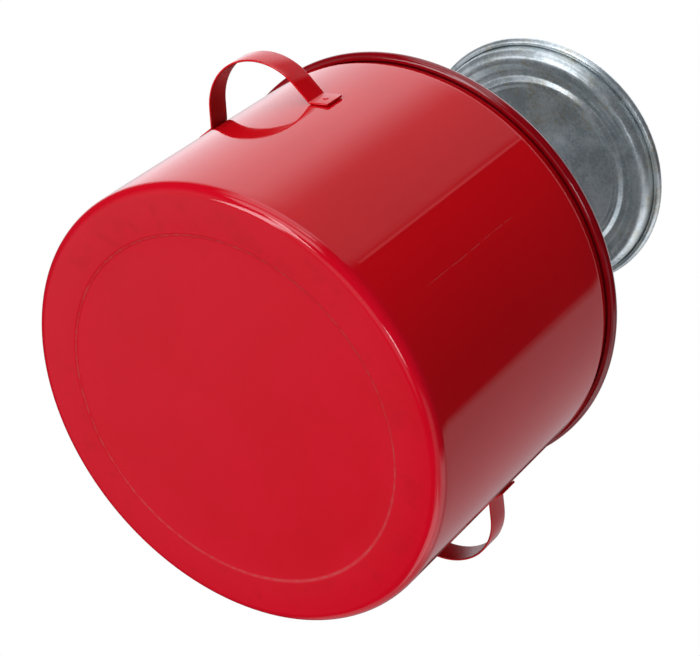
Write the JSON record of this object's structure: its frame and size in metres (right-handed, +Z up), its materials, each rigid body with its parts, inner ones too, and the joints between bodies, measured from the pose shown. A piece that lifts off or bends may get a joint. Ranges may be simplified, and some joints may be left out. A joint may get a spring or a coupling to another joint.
{
  "type": "plunger parts washer tank",
  "caption": "Round steel parts washer can with two strap handles and a sprung galvanised wash pan on a pump stem standing above its open mouth.",
  "frame": {"origin": "centre of the can's bottom, on the surface it stands on", "axes": "+Z up along the can and the pump, the two handles lie along X, -Y is the side with the welded seam"},
  "size_m": [0.309, 0.2596, 0.3418],
  "materials": {
    "red_enamel": "gloss red enamel on sheet steel",
    "galvanised": "mottled hot-dip zinc",
    "bright_steel": "bright drawn steel",
    "zinc_plate": "zinc plated",
    "brass": "drawn brass",
    "bronze": "turned bronze",
    "nitrile": "moulded nitrile",
    "fibre": "vulcanised fibre",
    "weld": "painted weld nugget"
  },
  "bodies": {
    "can": {"can_bottom": "red_enamel", "can_wall": "red_enamel", "rim_wire": "bright_steel", "handle_right": "red_enamel", "handle_left": "red_enamel", "handle_plug_welds": "weld", "pump_foot": "zinc_plate", "foot_plug_welds": "weld", "pump_barrel": "brass", "intake_strainer": "bright_steel", "foot_valve_seat": "brass", "ball_cage": "zinc_plate", "barrel_cap": "brass", "stem_bush": "bronze", "return_spring": "bright_steel"},
    "foot_valve": {"foot_valve_ball": "bright_steel"},
    "spring_seat": {"spring_seat_washer": "zinc_plate"},
    "plunger": {"piston": "bronze", "piston_cup": "nitrile", "piston_pin": "bright_steel", "piston_bumper": "nitrile", "stem_tube": "zinc_plate", "wash_pan": "galvanised", "pan_rim_wire": "bright_steel", "stem_collar": "galvanised", "pan_washer": "fibre", "pan_nut": "zinc_plate", "outlet_cap": "brass"},
    "delivery_valve": {"delivery_ball": "bright_steel"}
  },
  "joints": [
    {"name": "plunger_travel", "type": "slide", "parent": "can", "child": "spring_seat", "axis": [0, 0, -1], "range_m": [0, 0.08], "stiffness_N_per_m": 840, "springref_m": -0.0232, "deforming": ["return_spring"]},
    {"name": "pan_turn", "type": "hinge", "parent": "spring_seat", "child": "plunger", "pos_m": [0, 0, 0.147], "axis": [0, 0, 1], "continuous": true},
    {"name": "foot_valve_lift", "type": "slide", "parent": "can", "child": "foot_valve", "axis": [0, 0, 1], "range_m": [0, 0.004]},
    {"name": "delivery_valve_lift", "type": "slide", "parent": "plunger", "child": "delivery_valve", "axis": [0, 0, 1], "range_m": [0, 0.004]}
  ]
}
